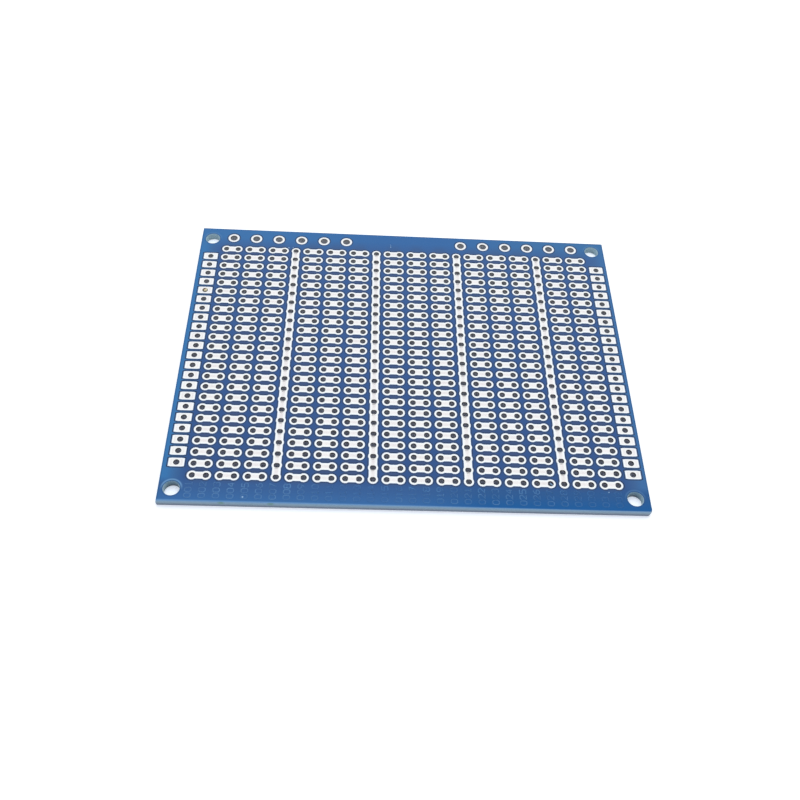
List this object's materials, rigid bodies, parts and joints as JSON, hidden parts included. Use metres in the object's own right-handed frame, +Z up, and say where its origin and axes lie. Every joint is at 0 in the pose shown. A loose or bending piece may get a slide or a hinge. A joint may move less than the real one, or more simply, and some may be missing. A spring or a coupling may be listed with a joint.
{
  "type": "prototype board",
  "caption": "Flat rectangular prototype board: drilled glass-epoxy laminate, solder mask and tinned pads in joined pairs between bus strips, with corner mounting holes.",
  "frame": {"origin": "centre of the outline on the underside, which is the bare face that the board rests on", "axes": "+X along the long side, to the right in the picture; +Y towards the back edge with the two rows of ring pads; +Z up through the board, on the side of the pads"},
  "size_m": [0.0902, 0.0702, 0.0016],
  "materials": {
    "laminate": "bare glass-epoxy laminate, translucent grey-green, satin, with sawn and scored edges",
    "solder_mask": "blue solder mask, semi-gloss",
    "tinned_pads": "tinned copper foil, smooth and dull bright"
  },
  "bodies": {
    "root": {"laminate": "laminate", "solder_mask": "solder_mask", "pad_pairs_1": "tinned_pads", "pad_pairs_2": "tinned_pads", "pad_pairs_3": "tinned_pads", "pad_pairs_4": "tinned_pads", "pad_pairs_5": "tinned_pads", "pad_pairs_6": "tinned_pads", "pad_pairs_7": "tinned_pads", "pad_pairs_8": "tinned_pads", "pad_pairs_9": "tinned_pads", "pad_pairs_10": "tinned_pads", "pad_pairs_11": "tinned_pads", "pad_pairs_12": "tinned_pads", "pad_pairs_13": "tinned_pads", "pad_pairs_14": "tinned_pads", "bus_strip_1": "tinned_pads", "bus_strip_2": "tinned_pads", "bus_strip_3": "tinned_pads", "bus_strip_4": "tinned_pads", "edge_pads_left": "tinned_pads", "edge_pads_right": "tinned_pads", "terminal_pads_left": "tinned_pads", "terminal_pads_right": "tinned_pads"}
  },
  "joints": []
}
